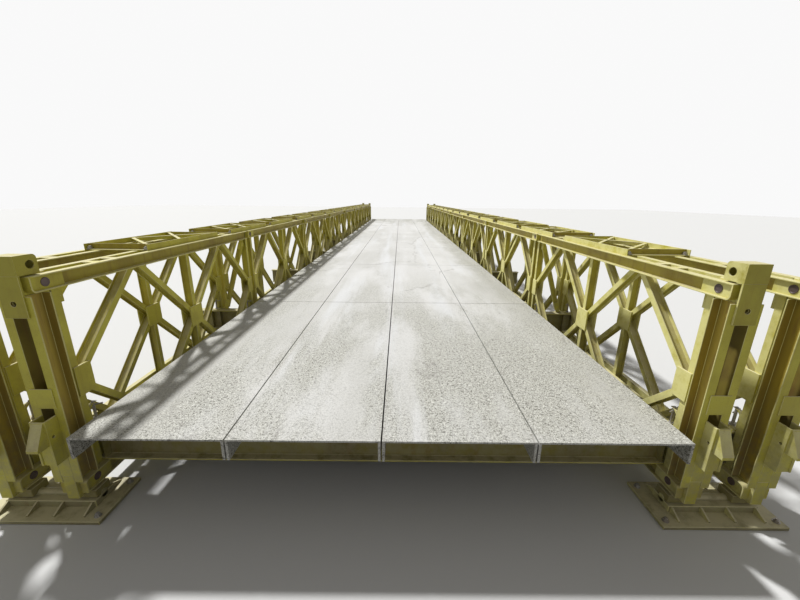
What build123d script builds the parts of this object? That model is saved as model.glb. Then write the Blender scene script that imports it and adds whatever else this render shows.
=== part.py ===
from build123d import *
import math
import os

# Panel bridge, eight bays, double truss, single storey. Millimetres.
# X runs across the roadway, Y along the bridge away from the viewer, Z up.
# The origin is on the bridge's middle, at the level of the base plates' underside.

# The panel: a welded lattice between two chords, pinned to its neighbours at four corners.
bay_count = 8
bay_length = 3000.0
panel_pin_height = 1400.0
chord_depth = 100.0
chord_gap = 80.0
chord_flange_width = 48.0
chord_web_thickness = 5.3
chord_flange_thickness = 8.5
bar_width = 50.0
bar_inset = 8.0
near_vertical_offset = 75.0
far_vertical_offset = 80.0
gusset_reach = 104.0
gusset_height = 211.0

# The pinned joint: jaws of one panel reach past the pin and take the lug of the next.
pin_diameter = 50.0
pin_sides = 12
pin_length = 150.0
jaw_reach = 105.0
lug_reach = 45.0
male_chord_setback = 150.0
lug_grip = 80.0
fit_clearance = 0.3

# The cross section of the bridge.
half_clear_width = 1995.0
truss_spacing = 450.0
transom_depth = 280.0
transom_flange_width = 122.0
transom_flange_thickness = 13.7
transom_web_thickness = 8.5
transom_half_length = 2780.0
deck_half_width = 1920.0
deck_strips = 4
deck_depth = 147.0
deck_plate_thickness = 12.0
deck_rib_thickness = 16.0
deck_seam = 10.0
deck_overhang = 230.0

# The horizontal frames that tie the two trusses of one side along their top chords.
brace_frame_length = 1200.0
brace_frame_width = 540.0
brace_frame_bar = 50.0
brace_frame_height = 50.0
brace_diagonal_width = 40.0
bay_frame_centre = 1550.0
joint_frame_offset = 100.0

# The raking struts, bolted to the inner truss's far verticals and the transoms.
raker_width = 60.0
raker_thickness = 40.0
raker_foot_out = 330.0
raker_head_drop = 10.0

# The crossed wind bracing under the deck.
sway_bar_width = 60.0
sway_bar_thickness = 20.0
sway_end_margin = 260.0

# The end posts, with heights measured from the panels' underside.
post_reach = 130.0
post_depth = 125.0
post_flange_width = 56.0
post_clearance = 10.0
post_head_width = 134.0
post_head_height = 112.0
post_head_back = 10.0
post_head_plate_thickness = 12.0
post_head_plate_foot = 1265.0
post_upper_hole_out = 56.0
post_upper_hole_height = 1565.0
post_cheek_thickness = 20.0
post_batten_thickness = 12.0
post_batten_span = (673.0, 807.0)
post_lower_plate_top = 580.0
post_foot_block_top = 160.0
post_bracket_reach = 80.0
post_bracket_width = 96.0
post_bracket_cheek = 12.0
post_bracket_foot = 310.0
post_bracket_seat_top = 455.0
post_bracket_top = 625.0
post_bracket_toe_reach = 70.0
post_bracket_toe_top = 478.0

# The bearings under the posts: a base plate, a saddle and a rocker bar of few sides.
foot_length = 120.0
foot_height = 60.0
foot_to_chord = 25.0
foot_to_saddle = 10.0
rocker_radius = 30.0
saddle_height = 50.0
saddle_length = 160.0
base_plate_thickness = 25.0
base_plate_length = 400.0
base_plate_margin = 110.0

# Levels and places worked out from the sizes above.
truss_width = chord_gap + 2 * chord_flange_width
inner_truss_x = half_clear_width + truss_width / 2
outer_truss_x = inner_truss_x + truss_spacing
bridge_half_length = bay_count * bay_length / 2
rocker_level = base_plate_thickness + saddle_height
foot_bottom = rocker_level + foot_to_saddle
foot_top = foot_bottom + foot_height
panel_bottom = foot_top + foot_to_chord
panel_height = panel_pin_height + chord_depth
panel_top = panel_bottom + panel_height
lower_pin_level = panel_bottom + chord_depth / 2
upper_pin_level = lower_pin_level + panel_pin_height
lug_width = chord_gap - 2 * fit_clearance
lug_height = chord_depth - 2 * bar_inset
transom_bottom = panel_bottom + chord_depth
transom_top = transom_bottom + transom_depth
transom_half_flange = transom_flange_width / 2
transom_setback = far_vertical_offset + bar_width / 2 + transom_half_flange + fit_clearance
first_transom_setback = near_vertical_offset + bar_width / 2 + transom_half_flange + fit_clearance

truss_places = {
    "left_outer": -outer_truss_x,
    "left_inner": -inner_truss_x,
    "right_inner": inner_truss_x,
    "right_outer": outer_truss_x,
}

os.makedirs("parts", exist_ok=True)


def save(piece, name):
    """Label one finished sub-part and write it as the node of that name."""
    piece.label = name
    export_step(piece, f"parts/{name}.step")


def box_between(x_span, y_span, z_span, mode=Mode.ADD):
    """A plain block between two values on each axis."""
    with Locations(Location([(low + high) / 2 for low, high in (x_span, y_span, z_span)])):
        Box(x_span[1] - x_span[0], y_span[1] - y_span[0], z_span[1] - z_span[0], mode=mode)


def channel_section(back, side, flange_width, depth):
    """Outline of one channel with its web's back at the given x, flanges towards the side."""
    tip = back + side * flange_width
    web = back + side * chord_web_thickness
    flange = chord_flange_thickness
    Polygon(
        (back, 0), (tip, 0), (tip, flange), (web, flange),
        (web, depth - flange), (tip, depth - flange), (tip, depth), (back, depth),
        align=None,
    )


# The web of one panel, drawn on the Y-Z plane: sketch x is Y, sketch y is Z.
near_vertical_y = near_vertical_offset
middle_vertical_y = bay_length / 2
far_vertical_y = bay_length - far_vertical_offset
mid_height = panel_height / 2
pin_heights = (chord_depth / 2, panel_height - chord_depth / 2)


def diamond(start, end):
    """Four diagonals between two verticals, with a gusset plate in each side corner."""
    span = (end - start) / 2
    rise = panel_pin_height / 2
    growth = bar_width / 2 * math.hypot(span, rise) / (span * rise)
    with Locations(((start + end) / 2, mid_height)):
        for size, mode in ((1 + growth, Mode.ADD), (1 - growth, Mode.SUBTRACT)):
            Polygon(
                (-span * size, 0), (0, -rise * size), (span * size, 0), (0, rise * size),
                align=None, mode=mode,
            )
        for side in (-1, 1):
            corner = side * span
            inner = side * (span - gusset_reach)
            half = gusset_height / 2
            Polygon((corner, -half), (inner, -half), (inner, half), (corner, half), align=None)


def web_outline():
    """Two diamonds and three verticals, fused where they cross, with the two male lugs."""
    diamond(near_vertical_y, middle_vertical_y)
    diamond(middle_vertical_y, far_vertical_y)
    start = near_vertical_y - bar_width / 2
    end = far_vertical_y + bar_width / 2
    with Locations(((start + end) / 2, mid_height)):
        Rectangle(end - start, panel_height - 2 * bar_inset, mode=Mode.INTERSECT)
    for y in (near_vertical_y, middle_vertical_y, far_vertical_y):
        with Locations((y, mid_height)):
            Rectangle(bar_width, panel_height - 2 * bar_inset)
    root = bay_length - male_chord_setback - lug_grip
    tip = bay_length + lug_reach
    with Locations(*[((root + tip) / 2, height) for height in pin_heights]):
        Rectangle(tip - root, lug_height)


def pin_holes(y, heights, mode=Mode.ADD):
    """Outlines of the pins' holes at the given heights."""
    with Locations(*[(y, height) for height in heights]):
        RegularPolygon(pin_diameter / 2, pin_sides, mode=mode)


def build_panel(jaw_holes, lug_holes):
    """One panel in its own frame: near pins on y 0, underside on z 0, middle plane on x 0."""
    with BuildPart() as panel:
        for base in (0, panel_pin_height):
            for side in (-1, 1):
                with BuildSketch(Plane.XZ.offset(jaw_reach)):
                    with Locations((0, base)):
                        channel_section(side * chord_gap / 2, side, chord_flange_width, chord_depth)
                extrude(amount=-(jaw_reach + bay_length - male_chord_setback))
        if jaw_holes:
            with BuildSketch(Plane.YZ):
                pin_holes(0, pin_heights)
            extrude(amount=truss_width, both=True, mode=Mode.SUBTRACT)
        with BuildSketch(Plane.YZ):
            web_outline()
            if lug_holes:
                pin_holes(bay_length, pin_heights, mode=Mode.SUBTRACT)
        extrude(amount=lug_width / 2, both=True)
    return panel.part


near_panel = build_panel(True, False)
middle_panel = build_panel(False, False)
far_panel = build_panel(False, True)

for truss, x in truss_places.items():
    for bay in range(bay_count):
        form = near_panel if bay == 0 else far_panel if bay == bay_count - 1 else middle_panel
        with BuildPart() as panel:
            with Locations((x, bay * bay_length - bridge_half_length, panel_bottom)):
                add(form)
        save(panel.part, f"{truss}_panel_{bay + 1}")

# The end posts. In the post's own frame the pin line is y 0 and outwards is -y.
stile_bottom = panel_bottom + chord_depth + post_clearance
stile_top = panel_top - chord_depth - post_clearance
head_bottom = panel_top + post_clearance
head_top = head_bottom + post_head_height
head_plate_foot = panel_bottom + post_head_plate_foot
lug_slot_half = lug_height / 2 + post_clearance


def post_bracket():
    """The seat on the post's outer face: a box open at the top, with a sloping guide before it."""
    nose = -post_reach - post_bracket_reach
    toe = nose - post_bracket_toe_reach
    half = post_bracket_width / 2
    inner = half - post_bracket_cheek
    foot = panel_bottom + post_bracket_foot
    seat = panel_bottom + post_bracket_seat_top
    top = panel_bottom + post_bracket_top
    for side in (-1, 1):
        box_between(sorted((side * half, side * inner)), (nose, -post_reach), (foot, top))
    box_between((-half, half), (nose, -post_reach), (foot, seat))
    with BuildSketch(Plane.YZ.offset(-inner)) as guide:
        Polygon(
            (nose + post_bracket_cheek, seat), (toe, seat), (toe, panel_bottom + post_bracket_toe_top),
            (nose, top), (nose + post_bracket_cheek, top),
            align=None,
        )
    extrude(guide.sketch, amount=2 * inner)


def build_post(block_width, block_back, lug_slots):
    """One post: two channels back to back, a block at each pin, a head, a bracket and a foot."""
    half_block = block_width / 2
    half_lug = lug_width / 2
    half_head = post_head_width / 2
    with BuildPart() as post:
        for side in (-1, 1):
            with BuildSketch(Plane.XY.offset(stile_bottom)):
                with Locations((0, -post_reach)):
                    channel_section(side * half_lug, side, post_flange_width, post_depth)
            extrude(amount=stile_top - stile_bottom)
        batten = [panel_bottom + height for height in post_batten_span]
        for front in (-post_reach, -post_reach + post_depth - post_batten_thickness):
            box_between((-half_lug, half_lug), (front, front + post_batten_thickness), batten)
        box_between((-half_lug, half_lug), (-post_reach, -post_reach + post_batten_thickness),
                    (panel_bottom + post_foot_block_top, panel_bottom + post_lower_plate_top))
        box_between((-half_block, half_block), (-post_reach, block_back), (head_plate_foot, head_bottom))
        box_between((-half_block, half_block), (-post_reach, block_back),
                    (foot_top, panel_bottom + post_foot_block_top))
        box_between((-half_head, half_head), (-post_reach, -post_head_back), (head_bottom, head_top))
        box_between((-half_head, half_head), (-post_reach - post_head_plate_thickness, -post_reach),
                    (head_plate_foot, head_top))
        box_between((-truss_width / 2, truss_width / 2), (-foot_length / 2, foot_length / 2),
                    (foot_bottom, foot_top))
        post_bracket()
        if lug_slots:
            for level in (lower_pin_level, upper_pin_level):
                box_between((-chord_gap / 2, chord_gap / 2), (-lug_reach - post_clearance, block_back),
                            (level - lug_slot_half, level + lug_slot_half), mode=Mode.SUBTRACT)
        with BuildSketch(Plane.YZ):
            pin_holes(0, (lower_pin_level, upper_pin_level))
            with Locations((-post_upper_hole_out, panel_bottom + post_upper_hole_height)):
                Circle(pin_diameter / 2)
            with Locations((0, rocker_level)):
                RegularPolygon(rocker_radius + fit_clearance, pin_sides)
        extrude(amount=truss_width, both=True, mode=Mode.SUBTRACT)
    return post.part


near_post = build_post(lug_width, lug_reach, False)
far_post = build_post(chord_gap + 2 * post_cheek_thickness, lug_reach + post_clearance, True)

with BuildPart() as near_end_posts:
    with Locations(*[(x, -bridge_half_length, 0) for x in truss_places.values()]):
        add(near_post)
save(near_end_posts.part, "near_end_posts")

with BuildPart() as far_end_posts:
    with Locations(*[Location((x, bridge_half_length, 0), (0, 0, 180)) for x in truss_places.values()]):
        add(far_post)
save(far_end_posts.part, "far_end_posts")

# The pins at the end posts, four trusses by two levels at each end.
with BuildPart() as end_pins:
    for x in truss_places.values():
        with BuildSketch(Plane.YZ.offset(x)):
            for y in (-bridge_half_length, bridge_half_length):
                with Locations((y, lower_pin_level), (y, upper_pin_level)):
                    RegularPolygon(pin_diameter / 2 - fit_clearance, pin_sides)
        extrude(amount=pin_length / 2, both=True)
save(end_pins.part, "end_pins")

# The bearings: a base plate under both posts of a side, a saddle and a rocker bar.
bearing_x = (inner_truss_x + outer_truss_x) / 2
saddle_half_width = (truss_spacing + truss_width) / 2
plate_half_width = saddle_half_width + base_plate_margin
with BuildPart() as bearing:
    box_between((-plate_half_width, plate_half_width), (-base_plate_length / 2, base_plate_length / 2),
                (0, base_plate_thickness))
    box_between((-saddle_half_width, saddle_half_width), (-saddle_length / 2, saddle_length / 2),
                (base_plate_thickness, rocker_level))
    with BuildSketch(Plane.YZ):
        with Locations((0, rocker_level)):
            RegularPolygon(rocker_radius, pin_sides)
    extrude(amount=saddle_half_width, both=True)

with BuildPart() as bearings:
    for y in (-bridge_half_length, bridge_half_length):
        with Locations((-bearing_x, y, 0), (bearing_x, y, 0)):
            add(bearing.part)
save(bearings.part, "bearings")

# The transoms lie on the lower chords beside the verticals and carry the deck.
with BuildPart() as transom:
    with BuildSketch(Plane.YZ):
        Rectangle(transom_flange_width, transom_depth)
        for side in (-1, 1):
            with Locations((side * (transom_flange_width + transom_web_thickness) / 4, 0)):
                Rectangle((transom_flange_width - transom_web_thickness) / 2,
                          transom_depth - 2 * transom_flange_thickness, mode=Mode.SUBTRACT)
    extrude(amount=transom_half_length, both=True)

transom_places = [first_transom_setback - bridge_half_length]
for bay in range(bay_count):
    transom_places.append((bay + 1) * bay_length - transom_setback - bridge_half_length)

with BuildPart() as transoms:
    with Locations(*[(0, y, transom_bottom + transom_depth / 2) for y in transom_places]):
        add(transom.part)
save(transoms.part, "transoms")

# The deck: plates folded down at both edges, in four strips of units that meet over the transoms.
strip_pitch = 2 * deck_half_width / deck_strips
deck_start = -bridge_half_length - deck_overhang
deck_end = bridge_half_length + deck_overhang
unit_starts = [deck_start + bay * bay_length for bay in range(bay_count + 1)]
unit_ends = unit_starts[1:] + [deck_end]


def deck_unit_section():
    """The end view of one deck unit: a plate on two edge ribs, centred on x 0, from z 0 up."""
    half = (strip_pitch - deck_seam) / 2
    rib_in = half - deck_rib_thickness
    under_plate = deck_depth - deck_plate_thickness
    Polygon(
        (-half, 0), (-rib_in, 0), (-rib_in, under_plate), (rib_in, under_plate),
        (rib_in, 0), (half, 0), (half, deck_depth), (-half, deck_depth),
        align=None,
    )


for strip in range(deck_strips):
    strip_x = (strip - (deck_strips - 1) / 2) * strip_pitch
    with BuildPart() as deck_strip:
        for start, end in zip(unit_starts, unit_ends):
            with BuildSketch(Plane.XZ.offset(-start - deck_seam / 2)):
                with Locations((strip_x, transom_top)):
                    deck_unit_section()
            extrude(amount=-(end - start - deck_seam))
    save(deck_strip.part, f"deck_strip_{strip + 1}")

# The bracing frames on the top chords, one within each bay and one across each joint.
frame_half_width = brace_frame_width / 2
frame_half_length = brace_frame_length / 2
diagonal_run = brace_frame_length - brace_frame_bar
diagonal_span = brace_frame_width - brace_frame_bar
with BuildPart() as brace_frame:
    with BuildSketch():
        Rectangle(2 * frame_half_width, brace_frame_length)
        Rectangle(2 * (frame_half_width - brace_frame_bar), 2 * (frame_half_length - brace_frame_bar),
                  mode=Mode.SUBTRACT)
        with Locations(Location((0, 0), math.degrees(math.atan2(diagonal_run, diagonal_span)))):
            Rectangle(math.hypot(diagonal_run, diagonal_span), brace_diagonal_width)
    extrude(amount=brace_frame_height)

frame_places = []
for bay in range(bay_count):
    frame_places.append(bay * bay_length + bay_frame_centre - bridge_half_length)
for joint in range(1, bay_count):
    frame_places.append(joint * bay_length + joint_frame_offset - bridge_half_length)

for side_name, side in (("left", -1), ("right", 1)):
    form = brace_frame.part if side > 0 else brace_frame.part.mirror(Plane.YZ)
    with BuildPart() as bracing_frames:
        with Locations(*[(side * bearing_x, y, panel_top) for y in frame_places]):
            add(form)
    save(bracing_frames.part, f"{side_name}_bracing_frames")

# The rakers: struts that lean from the transom ends to the heads of the inner truss's verticals.
raker_foot_x = inner_truss_x + raker_foot_out
raker_head_level = panel_top - chord_depth - raker_head_drop
raker_rise = raker_head_level - transom_top
raker_level_width = raker_width * math.hypot(raker_foot_out, raker_rise) / raker_rise
raker_offset = transom_half_flange - raker_thickness / 2
raker_places = [transom_places[0] - raker_offset]
for y in transom_places[1:]:
    raker_places.append(y + raker_offset)

with BuildPart() as rakers:
    for side in (-1, 1):
        for y in raker_places:
            with BuildSketch(Plane.XZ.offset(-y - raker_thickness / 2)):
                Polygon(
                    (side * (raker_foot_x + raker_level_width / 2), transom_top),
                    (side * (raker_foot_x - raker_level_width / 2), transom_top),
                    (side * (inner_truss_x - raker_level_width / 2), raker_head_level),
                    (side * (inner_truss_x + raker_level_width / 2), raker_head_level),
                    align=None,
                )
            extrude(amount=raker_thickness)
save(rakers.part, "rakers")

# The sway braces: two flat bars crossed in each bay, lying on the lower chords' bottom flanges.
sway_level = panel_bottom + chord_flange_thickness + fit_clearance
sway_half_width = half_clear_width + chord_flange_width - chord_web_thickness - fit_clearance
sway_half_run = bay_length / 2 - sway_end_margin
with BuildPart() as sway_brace:
    with BuildSketch():
        for turn in (-1, 1):
            angle = math.degrees(math.atan2(turn * sway_half_run, sway_half_width))
            with Locations(Location((0, 0), angle)):
                Rectangle(2 * (math.hypot(sway_half_width, sway_half_run) + sway_bar_width), sway_bar_width)
        Rectangle(2 * sway_half_width, bay_length, mode=Mode.INTERSECT)
    extrude(amount=sway_bar_thickness)

with BuildPart() as sway_braces:
    with Locations(*[(0, (bay + 0.5) * bay_length - bridge_half_length, sway_level)
                     for bay in range(bay_count)]):
        add(sway_brace.part)
save(sway_braces.part, "sway_braces")
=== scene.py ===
import math

import bpy
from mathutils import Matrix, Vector


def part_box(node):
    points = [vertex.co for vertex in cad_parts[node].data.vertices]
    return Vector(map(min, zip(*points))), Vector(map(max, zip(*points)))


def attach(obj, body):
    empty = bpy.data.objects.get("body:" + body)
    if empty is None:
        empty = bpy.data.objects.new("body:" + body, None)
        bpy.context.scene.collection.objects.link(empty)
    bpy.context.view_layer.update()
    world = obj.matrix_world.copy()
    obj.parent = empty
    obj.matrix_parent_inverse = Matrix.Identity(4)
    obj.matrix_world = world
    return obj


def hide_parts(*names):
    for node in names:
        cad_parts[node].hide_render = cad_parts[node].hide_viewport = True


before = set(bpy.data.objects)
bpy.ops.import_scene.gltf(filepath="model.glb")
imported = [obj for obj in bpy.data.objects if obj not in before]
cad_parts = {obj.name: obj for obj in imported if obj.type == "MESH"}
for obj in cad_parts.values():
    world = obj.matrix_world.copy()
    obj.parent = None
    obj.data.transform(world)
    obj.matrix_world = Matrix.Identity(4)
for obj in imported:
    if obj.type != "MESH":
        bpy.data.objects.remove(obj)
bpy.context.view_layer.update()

bpy.ops.object.select_all(action="DESELECT")
bpy.context.tool_settings.mesh_select_mode = (False, False, True)

# The camera stands at eye height before the near end, a little right of the roadway's middle, and
# looks along it and slightly down, as the photograph does. The near pins give its place.
panel_low, panel_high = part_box("left_inner_panel_1")
near_pin_y = -12.0
eye = Vector((0.101, near_pin_y - 2.060, panel_low.z + 1.9475))
camera_data = bpy.data.cameras.new("photo_camera")
camera_data.lens = 15.94
camera_data.sensor_width = 36.0
camera_data.clip_start = 0.05
camera = bpy.data.objects.new("photo_camera", camera_data)
looking_down, rolled, turned_left = 15.96, -0.584, 0.042
camera.rotation_mode = "XYZ"
camera.rotation_euler = [math.radians(a) for a in (90 - looking_down, rolled, turned_left)]
camera.location = eye
bpy.context.scene.collection.objects.link(camera)
bpy.context.scene.camera = camera

# Paint. All of the trusswork is rolled steel brushed with a yellow-green army paint, which has worn
# pale along the edges, where a highlight is painted too, and lies under road dust on every upward
# face. Shade is painted darker and browner into the hollows, and sunlight is painted paler onto
# the faces towards -X.
def new_group(name, masks, number=None):
    """An empty shader group that takes coordinates, some a number too, and puts out masks."""
    group = bpy.data.node_groups.new(name, "ShaderNodeTree")
    group.interface.new_socket("Vector", in_out="INPUT", socket_type="NodeSocketVector")
    if number:
        group.interface.new_socket(number, in_out="INPUT", socket_type="NodeSocketFloat")
    for mask in masks:
        group.interface.new_socket(mask, in_out="OUTPUT", socket_type="NodeSocketFloat")
    return group, group.nodes.new("NodeGroupInput"), group.nodes.new("NodeGroupOutput")


def add_node(tree, kind, settings=(), **values):
    """A node with its settings and its unlinked inputs."""
    node = tree.nodes.new(kind)
    for title, value in settings:
        setattr(node, title, value)
    for title, value in values.items():
        node.inputs[title.replace("_", " ")].default_value = value
    return node


def ramp(tree, source, low, high):
    """A mask from 0 to 1 while the source goes from low to high."""
    node = add_node(tree, "ShaderNodeMapRange", [("interpolation_type", "SMOOTHSTEP")])
    node.inputs["From Min"].default_value = low
    node.inputs["From Max"].default_value = high
    tree.links.new(source, node.inputs["Value"])
    return node.outputs["Result"]


def combine(tree, operation, *values):
    """Masks or numbers put together by one arithmetic node."""
    node = add_node(tree, "ShaderNodeMath", [("operation", operation)])
    for slot, value in enumerate(values):
        if isinstance(value, (int, float)):
            node.inputs[slot].default_value = value
        else:
            tree.links.new(value, node.inputs[slot])
    return node.outputs[0]


def blend_colour(tree, mask, below, above):
    """One colour over another, where the mask says."""
    node = add_node(tree, "ShaderNodeMix", [("data_type", "RGBA")])
    tree.links.new(mask, node.inputs["Factor"])
    for title, value in (("A", below), ("B", above)):
        socket = [s for s in node.inputs if s.name == title and s.type == "RGBA"][0]
        if isinstance(value, tuple):
            socket.default_value = value + (1.0,)
        else:
            tree.links.new(value, socket)
    return [s for s in node.outputs if s.type == "RGBA"][0]


def stain(tree, mask, strength, below, above):
    """One colour over another where the mask says, at a strength or under a second mask."""
    return blend_colour(tree, combine(tree, "MULTIPLY", mask, strength), below, above)


def noise(tree, place, scale, detail=3.0, roughness=0.55, stretch=(1, 1, 1)):
    """Cloudy noise on the object's own coordinates, drawn out where it is stretched."""
    mapping = add_node(tree, "ShaderNodeMapping", Scale=[1 / s for s in stretch])
    tree.links.new(place, mapping.inputs["Vector"])
    node = add_node(tree, "ShaderNodeTexNoise", Scale=scale, Detail=detail, Roughness=roughness)
    tree.links.new(mapping.outputs["Vector"], node.inputs["Vector"])
    return node.outputs["Fac"]


def axis_of(tree, vector, axis):
    """One axis of a vector."""
    node = add_node(tree, "ShaderNodeSeparateXYZ")
    tree.links.new(vector, node.inputs[0])
    return node.outputs[axis]


weather, weather_in, weather_out = new_group("weather", ("Blotches", "Streaks", "Specks"))
for mask, grain, low, high in (("Blotches", (3.5, 5.0), 0.42, 0.66),
                               ("Streaks", (22.0, 4.0, 0.6, (1, 1, 9)), 0.5, 0.72),
                               ("Specks", (140.0, 2.0, 0.5), 0.6, 0.74)):
    weather.links.new(ramp(weather, noise(weather, weather_in.outputs["Vector"], *grain), low, high),
                      weather_out.inputs[mask])

# The first mask is dust settled on upward faces; the second paints faces towards -X paler, as painted
# sunlight.
dust_and_painted_sunlight, dust_and_sunlight_in, dust_and_sunlight_out = new_group("dust_and_painted_sunlight", ("Dust", "Painted_sunlight"), "Cover")
surface = add_node(dust_and_painted_sunlight, "ShaderNodeNewGeometry").outputs["Normal"]
clouds = noise(dust_and_painted_sunlight, dust_and_sunlight_in.outputs["Vector"], 9.0, 6.0, 0.65)
drift = ramp(dust_and_painted_sunlight, clouds, 0.22, 0.58)
for mask, direction, low, high in (("Dust", "Z", 0.15, 0.7), ("Painted_sunlight", "X", -0.4, -0.85)):
    facing = ramp(dust_and_painted_sunlight, axis_of(dust_and_painted_sunlight, surface, direction), low, high)
    cover = combine(dust_and_painted_sunlight, "MULTIPLY", facing, drift)
    dust_and_painted_sunlight.links.new(combine(dust_and_painted_sunlight, "MULTIPLY", cover, dust_and_sunlight_in.outputs["Cover"]),
                           dust_and_sunlight_out.inputs[mask])

road_splash, splash_in, splash_out = new_group("road_splash", ("Splash",), "Amount")
low_down = ramp(road_splash, axis_of(road_splash, splash_in.outputs["Vector"], "Z"), 1.05, 0.35)
clouds = noise(road_splash, splash_in.outputs["Vector"], 14.0, 6.0, 0.7)
thrown_up = combine(road_splash, "MULTIPLY", low_down, ramp(road_splash, clouds, 0.3, 0.65))
road_splash.links.new(combine(road_splash, "MULTIPLY", thrown_up, splash_in.outputs["Amount"]),
                      splash_out.inputs["Splash"])


def start_material(name):
    """A material with its shader, the object's coordinates and the weather's marks on them."""
    material = bpy.data.materials.new(name)
    material.use_nodes = True
    tree = material.node_tree
    place = add_node(tree, "ShaderNodeTexCoord").outputs["Object"]
    weather_node = add_node(tree, "ShaderNodeGroup", [("node_tree", weather)])
    tree.links.new(place, weather_node.inputs["Vector"])
    return material, tree, tree.nodes["Principled BSDF"], place, weather_node.outputs


def placed_group(tree, group, place, socket, **values):
    """One output of a shader group, set on the object's coordinates."""
    node = add_node(tree, "ShaderNodeGroup", [("node_tree", group)], **values)
    tree.links.new(place, node.inputs["Vector"])
    return node.outputs[socket]


def coat(tree, shader, place, colour, rough, scale, depth):
    """The colour, and from one noise the roughness between two values and a fine unevenness."""
    tree.links.new(colour, shader.inputs["Base Color"])
    grain = noise(tree, place, scale, 4.0, 0.6)
    spread = add_node(tree, "ShaderNodeMapRange")
    spread.inputs["To Min"].default_value, spread.inputs["To Max"].default_value = rough
    tree.links.new(grain, spread.inputs["Value"])
    tree.links.new(spread.outputs["Result"], shader.inputs["Roughness"])
    bump = add_node(tree, "ShaderNodeBump", Strength=0.35, Distance=depth)
    tree.links.new(grain, bump.inputs["Height"])
    tree.links.new(bump.outputs["Normal"], shader.inputs["Normal"])


dust_colour = (0.58, 0.53, 0.33)
splash_colour = (0.34, 0.31, 0.19)
rust_colour = (0.20, 0.095, 0.035)
# Painted sunlight: the paler colour laid on faces towards -X.
painted_sunlight_colour = (0.74, 0.70, 0.30)


def paint(name, colour, worn_colour, rust, dust, splash=0.5, painted_sunlight_cover=0.9):
    """Brushed paint: worn, rust-streaked, splashed low, dusty on top, painted sunlit on one side."""
    material, tree, shader, place, marks = start_material(name)
    worn = blend_colour(tree, marks["Blotches"], colour, worn_colour)
    rusty = stain(tree, marks["Streaks"], rust, worn, rust_colour)
    chipped = stain(tree, marks["Specks"], 0.35, rusty, rust_colour)
    painted_sunlit = blend_colour(tree, placed_group(tree, dust_and_painted_sunlight, place, "Painted_sunlight", Cover=painted_sunlight_cover),
                          chipped, painted_sunlight_colour)
    splashed = blend_colour(tree, placed_group(tree, road_splash, place, "Splash", Amount=splash),
                            painted_sunlit, splash_colour)
    dusty = blend_colour(tree, placed_group(tree, dust_and_painted_sunlight, place, "Dust", Cover=dust),
                         splashed, dust_colour)
    shader.inputs["Specular IOR Level"].default_value = 0.22
    coat(tree, shader, place, dusty, rough=(0.36, 0.66), scale=60.0, depth=0.0008)
    return material


olive_paint = paint("olive_paint", (0.55, 0.505, 0.075), (0.45, 0.40, 0.06), rust=0.16, dust=0.75)
# The two darker paints for hollows and recesses are painted shade.
hollow_painted_shade = paint("olive_paint_with_painted_shade_in_hollows", (0.48, 0.43, 0.065), (0.38, 0.32, 0.05),
                     rust=0.25, dust=0.6)
recess_painted_shade = paint("recess_painted_shade", (0.41, 0.345, 0.05), (0.32, 0.25, 0.045),
                     rust=0.35, dust=0.5, painted_sunlight_cover=0.1)
# The pale edge paint is partly wear and partly a painted highlight where edges catch the light.
worn_and_highlit_edge = paint("worn_and_highlit_edge", (0.62, 0.58, 0.24), (0.52, 0.47, 0.15), rust=0.3, dust=0.8)
# The dark paint is dirt on beams, braces and feet, and painted shade on the lugs inside the jaws.
grime_and_shade_paint = paint("olive_paint_under_dirt_and_painted_shade", (0.24, 0.21, 0.06), (0.16, 0.135, 0.045),
                    rust=0.3, dust=0.8, painted_sunlight_cover=0.1)

# A panel's chords. Each chord is two rolled channels back to back with a gap between them, joined
# by battens; at the near end they reach past the pin as jaws, thickened by a plate and a strap.
def close_edit():
    """Leave edit mode with all faces pointing outwards."""
    bpy.ops.mesh.select_all(action="SELECT")
    bpy.ops.mesh.normals_make_consistent(inside=False)
    bpy.ops.object.mode_set(mode="OBJECT")


def open_with_faces(piece, test):
    """Edit mode with only the faces chosen whose centre and normal pass the test."""
    mesh = piece.data
    bpy.context.view_layer.objects.active = piece
    mesh.vertices.foreach_set("select", [False] * len(mesh.vertices))
    mesh.edges.foreach_set("select", [False] * len(mesh.edges))
    mesh.polygons.foreach_set("select", [bool(test(f.center, f.normal)) for f in mesh.polygons])
    bpy.ops.object.mode_set(mode="EDIT")


def bevel_chosen_edges(piece, test, offset, segments):
    """Round or chamfer the edges whose two ends pass the test."""
    mesh = piece.data
    bpy.context.view_layer.objects.active = piece
    bpy.context.tool_settings.mesh_select_mode = (False, True, False)
    mesh.vertices.foreach_set("select", [False] * len(mesh.vertices))
    mesh.polygons.foreach_set("select", [False] * len(mesh.polygons))
    for edge in mesh.edges:
        first, second = [mesh.vertices[v].co for v in edge.vertices]
        edge.select = bool(test(first, second))
    bpy.ops.object.mode_set(mode="EDIT")
    bpy.ops.mesh.bevel(offset=offset, segments=segments, affect="EDGES")
    close_edit()
    bpy.context.tool_settings.mesh_select_mode = (False, False, True)


def modify(piece, kind, **settings):
    """Put a modifier with its settings on a piece and apply it."""
    modifier = piece.modifiers.new("step", kind)
    for title, value in settings.items():
        setattr(modifier, title, value)
    bpy.context.view_layer.objects.active = piece
    bpy.ops.object.modifier_apply(modifier=modifier.name)


def break_edges(piece, width):
    """Ease the sharp edges of a piece."""
    modify(piece, "BEVEL", width=width, segments=1, limit_method="ANGLE")


def settle(piece):
    """Put a piece's place into its mesh."""
    bpy.ops.object.select_all(action="DESELECT")
    piece.select_set(True)
    bpy.context.view_layer.objects.active = piece
    bpy.ops.object.transform_apply(location=True, rotation=True, scale=True)


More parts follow.
